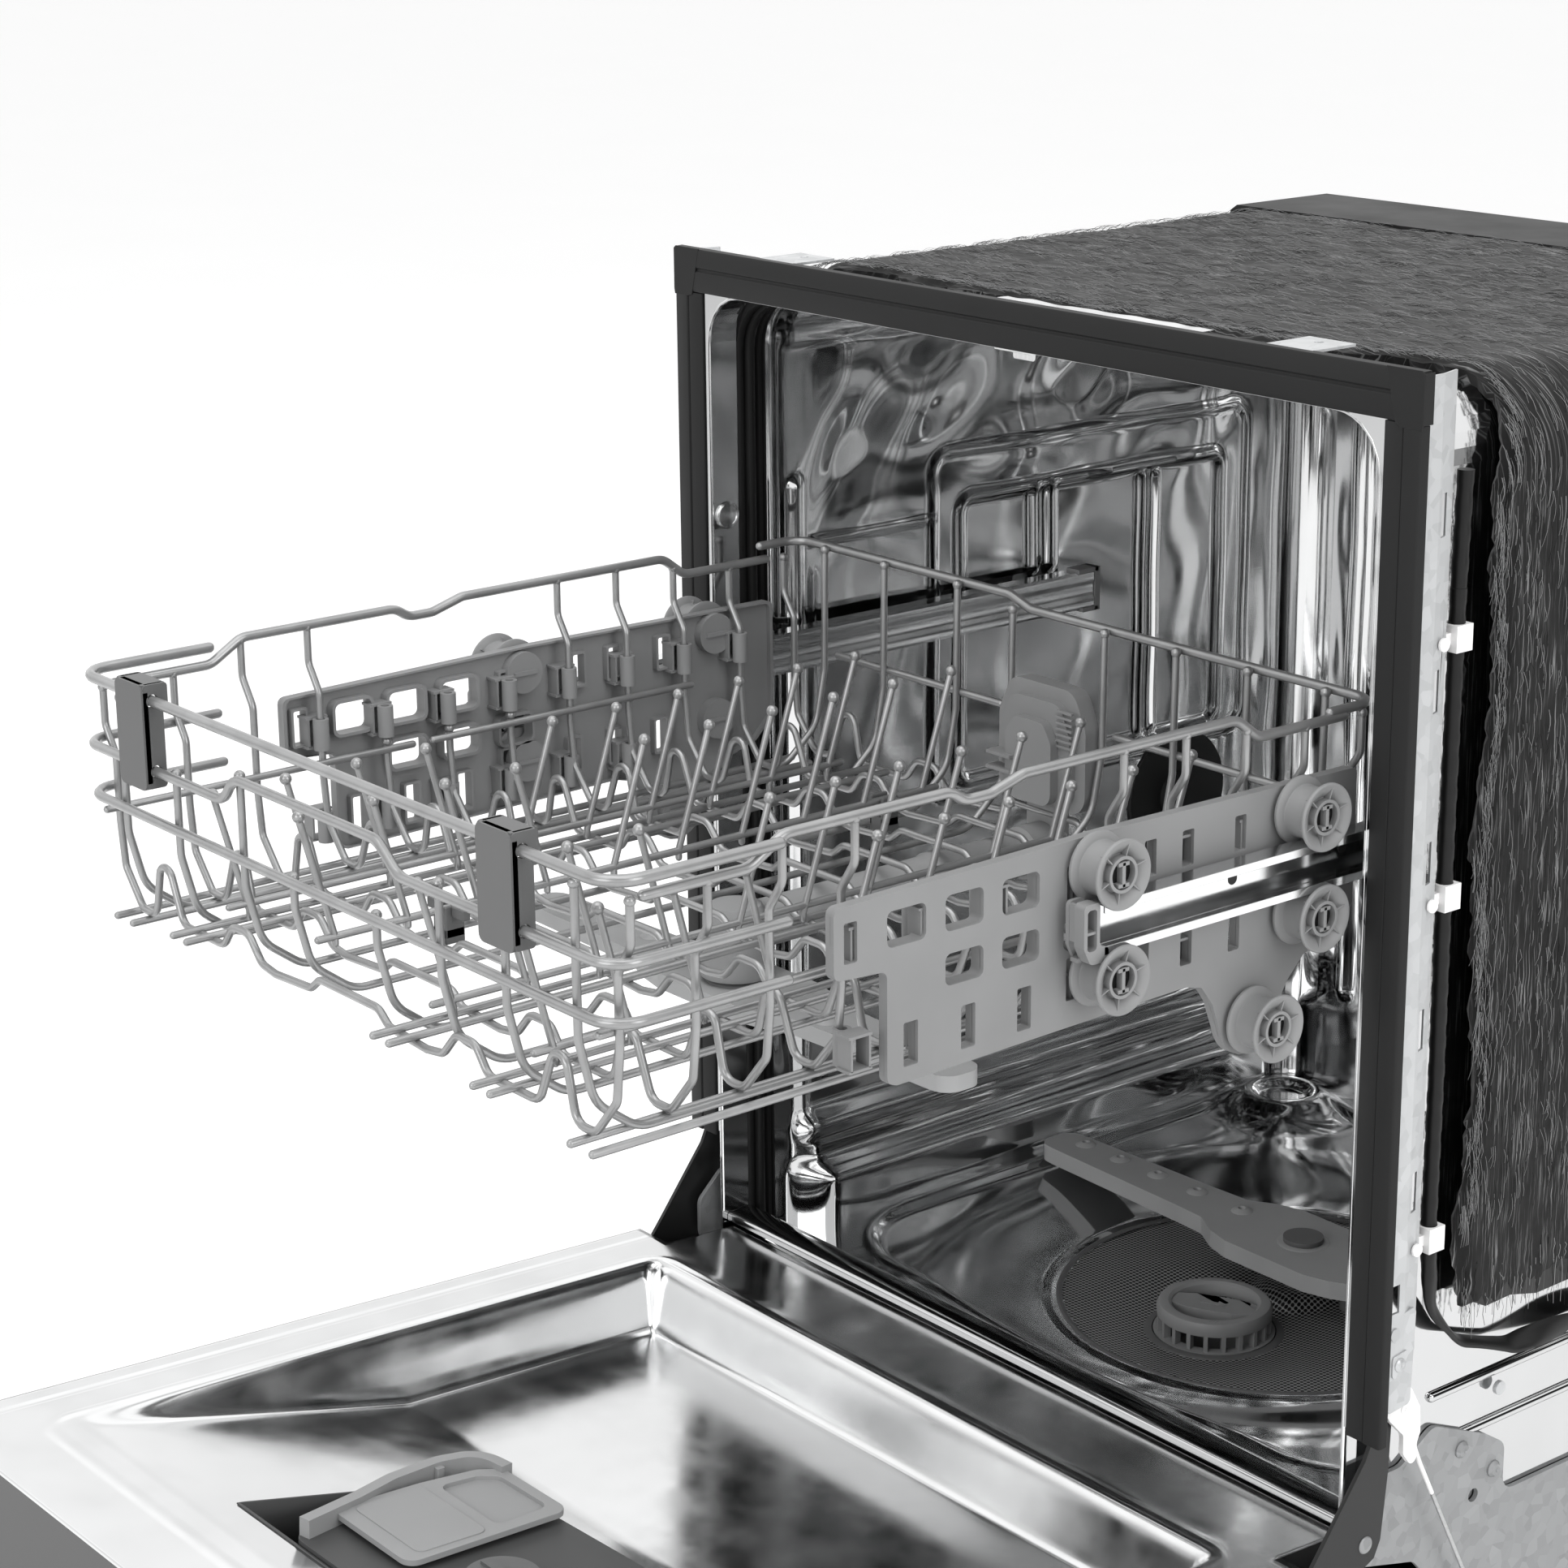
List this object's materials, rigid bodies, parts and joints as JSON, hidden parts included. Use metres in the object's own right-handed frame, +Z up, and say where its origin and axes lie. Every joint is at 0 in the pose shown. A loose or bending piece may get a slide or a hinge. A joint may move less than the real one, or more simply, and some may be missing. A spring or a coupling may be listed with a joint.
{
  "type": "built-in dishwasher",
  "caption": "Front-opening built-in dishwasher with a steel tub, drop-down door, pull-out upper rack on rails, spray arms, sump filter, pumps and adjustable feet.",
  "frame": {"origin": "centre of the overall box at floor level, with the door open and the upper rack out", "axes": "+X to the machine's right side seen from the front, +Y from the door to the back wall, +Z up"},
  "size_m": [0.598, 1.179, 0.855],
  "materials": {
    "stainless": "polished stainless sheet",
    "rail_steel": "bright stainless strip",
    "galvanised": "galvanised sheet with soft spangle",
    "black_trim": "satin black moulding",
    "seal_rubber": "ribbed rubber",
    "fibre": "needled fibre, black with pale strands",
    "black_plastic": "moulded black plastic",
    "loom": "soft black cable sheath",
    "white_plastic": "white nylon",
    "spring_steel": "zinc plated wire",
    "pump_body": "moulded pump housing",
    "box_steel": "plated steel box",
    "mesh_steel": "fine woven stainless mesh",
    "dark_grey_plastic": "moulded dark grey plastic",
    "grey_plastic": "moulded mid grey plastic",
    "light_grey_plastic": "moulded light grey plastic",
    "rack_wire": "nylon coated steel wire, satin silver grey",
    "door_skin": "fine brushed steel finish",
    "console_plastic": "satin dark console",
    "board": "circuit board",
    "hinge_black": "black coated steel",
    "latch_metal": "plated latch parts",
    "button_grey": "smooth buttons",
    "foot_metal": "plated screwed feet"
  },
  "bodies": {
    "cabinet": {"base_tray": "black_plastic", "base_brackets": "galvanised", "leveling_feet": "foot_metal", "toe_kick": "black_plastic", "tub_wrapper": "stainless", "tub_back": "stainless", "tub_floor": "stainless", "sump": "black_plastic", "filter_plate": "mesh_steel", "side_flanges": "galvanised", "side_trims": "black_trim", "trim_top": "black_trim", "door_gasket": "seal_rubber", "insulation_blanket": "fibre", "rear_top_channel": "black_plastic", "wash_pump": "pump_body", "drain_pump": "pump_body", "inlet_valve": "pump_body", "junction_box": "box_steel", "harness": "loom", "harness_clips": "white_plastic", "vent_cap": "black_plastic", "latch_strike": "galvanised", "rail_guides": "grey_plastic", "arm_support": "dark_grey_plastic", "docking_port": "dark_grey_plastic", "counter_brackets": "galvanised", "cabinet_screws": "galvanised", "balance_springs": "spring_steel"},
    "pulleys": {"cord_pulleys": "white_plastic"},
    "door": {"door_panel": "door_skin", "door_liner": "stainless", "console": "console_plastic", "control_board": "board", "hinge_arms": "hinge_black", "dispenser_housing": "grey_plastic", "door_latch": "latch_metal"},
    "power_button": {"button_power": "button_grey"},
    "start_button": {"button_start": "button_grey"},
    "detergent_lid": {"dispenser_lid": "light_grey_plastic"},
    "rinse_aid_cap": {"rinse_cap": "dark_grey_plastic"},
    "door_links": {"balance_links": "white_plastic"},
    "filter_insert": {"filter_cylinder": "dark_grey_plastic"},
    "lower_arm": {"lower_spray_arm": "grey_plastic"},
    "rack": {"rack_floor_grid": "rack_wire", "rack_walls": "rack_wire", "rack_tines": "rack_wire", "rack_plate_left": "grey_plastic", "rack_plate_right": "grey_plastic", "rack_clips": "dark_grey_plastic", "feed_duct": "grey_plastic"},
    "tine_flap": {"folding_tines": "rack_wire"},
    "middle_arm": {"middle_spray_arm": "grey_plastic"},
    "left_rail": {"rail_left": "rail_steel"},
    "right_rail": {"rail_right": "rail_steel"},
    "upper_front_wheel_pair": {"upper_front_wheels": "light_grey_plastic"},
    "upper_rear_wheel_pair": {"upper_rear_wheels": "light_grey_plastic"},
    "lower_front_wheel_pair": {"lower_front_wheels": "light_grey_plastic"},
    "lower_rear_wheel_pair": {"lower_rear_wheels": "light_grey_plastic"},
    "support_wheel_pair": {"support_wheels": "light_grey_plastic"}
  },
  "joints": [
    {"name": "door_hinge", "type": "hinge", "parent": "cabinet", "child": "door", "pos_m": [0, 0.04451, 0.22], "axis": [-1, 0, 0], "range_deg": [0, 87], "deforming": ["balance_springs"]},
    {"name": "rack_slide", "type": "slide", "parent": "cabinet", "child": "rack", "axis": [0, 1, 0], "range_m": [0, 0.475]},
    {"name": "left_rail_slide", "type": "slide", "parent": "cabinet", "child": "left_rail", "axis": [0, 1, 0], "range_m": [0, 0.203]},
    {"name": "right_rail_slide", "type": "slide", "parent": "cabinet", "child": "right_rail", "axis": [0, 1, 0], "range_m": [0, 0.203]},
    {"name": "upper_front_wheel_spin", "type": "hinge", "parent": "rack", "child": "upper_front_wheel_pair", "pos_m": [0, -0.12149, 0.627], "axis": [1, 0, 0], "continuous": true},
    {"name": "upper_rear_wheel_spin", "type": "hinge", "parent": "rack", "child": "upper_rear_wheel_pair", "pos_m": [0, 0.02051, 0.627], "axis": [1, 0, 0], "continuous": true},
    {"name": "lower_front_wheel_spin", "type": "hinge", "parent": "rack", "child": "lower_front_wheel_pair", "pos_m": [0, -0.12049, 0.573], "axis": [1, 0, 0], "continuous": true},
    {"name": "lower_rear_wheel_spin", "type": "hinge", "parent": "rack", "child": "lower_rear_wheel_pair", "pos_m": [0, 0.02151, 0.573], "axis": [1, 0, 0], "continuous": true},
    {"name": "support_wheel_spin", "type": "hinge", "parent": "rack", "child": "support_wheel_pair", "pos_m": [0, -0.01009, 0.521], "axis": [1, 0, 0], "continuous": true},
    {"name": "middle_arm_spin", "type": "hinge", "parent": "rack", "child": "middle_arm", "pos_m": [0, -0.15049, 0.504], "axis": [0, 0, 1], "continuous": true},
    {"name": "tine_flap_fold", "type": "hinge", "parent": "rack", "child": "tine_flap", "pos_m": [-0.054, -0.18549, 0.567], "axis": [0, -1, 0], "range_deg": [0, 75]},
    {"name": "lower_arm_spin", "type": "hinge", "parent": "cabinet", "child": "lower_arm", "pos_m": [0, 0.30651, 0.216], "axis": [0, 0, 1], "continuous": true},
    {"name": "filter_twist", "type": "hinge", "parent": "cabinet", "child": "filter_insert", "pos_m": [0, 0.22651, 0.195], "axis": [0, 0, -1], "range_deg": [0, 40]},
    {"name": "pulley_spin", "type": "hinge", "parent": "cabinet", "child": "pulleys", "pos_m": [0, 0.16051, 0.106], "axis": [1, 0, 0], "continuous": true},
    {"name": "door_link_pivot", "type": "hinge", "parent": "door", "child": "door_links", "pos_m": [0, 0.05431, 0.31161], "axis": [1, 0, 0], "range_deg": [0, 73]},
    {"name": "power_button_press", "type": "slide", "parent": "door", "child": "power_button", "axis": [0, 0.9986, -0.0523], "range_m": [0, 0.003], "stiffness_N_per_m": 250, "springref_m": -0.002},
    {"name": "start_button_press", "type": "slide", "parent": "door", "child": "start_button", "axis": [0, 0.9986, -0.0523], "range_m": [0, 0.003], "stiffness_N_per_m": 250, "springref_m": -0.002},
    {"name": "detergent_lid_slide", "type": "slide", "parent": "door", "child": "detergent_lid", "axis": [0, -0.9986, 0.0523], "range_m": [0, 0.088]},
    {"name": "rinse_cap_turn", "type": "hinge", "parent": "door", "child": "rinse_aid_cap", "pos_m": [0.052, -0.34995, 0.24067], "axis": [0, 0.0523, 0.9986], "range_deg": [0, 90]}
  ],
  "couplings": [
    {"joint": "rack_slide", "follows": "door_hinge", "m_per_rad": 0.3128},
    {"joint": "left_rail_slide", "follows": "door_hinge", "m_per_rad": 0.1331},
    {"joint": "right_rail_slide", "follows": "door_hinge", "m_per_rad": 0.1331},
    {"joint": "upper_front_wheel_spin", "follows": "door_hinge", "ratio": -13.117},
    {"joint": "upper_rear_wheel_spin", "follows": "door_hinge", "ratio": -13.117},
    {"joint": "lower_front_wheel_spin", "follows": "door_hinge", "ratio": 13.117},
    {"joint": "lower_rear_wheel_spin", "follows": "door_hinge", "ratio": 13.117},
    {"joint": "pulley_spin", "follows": "door_hinge", "ratio": 9.9},
    {"joint": "door_link_pivot", "follows": "door_hinge", "ratio": 0.83}
  ]
}
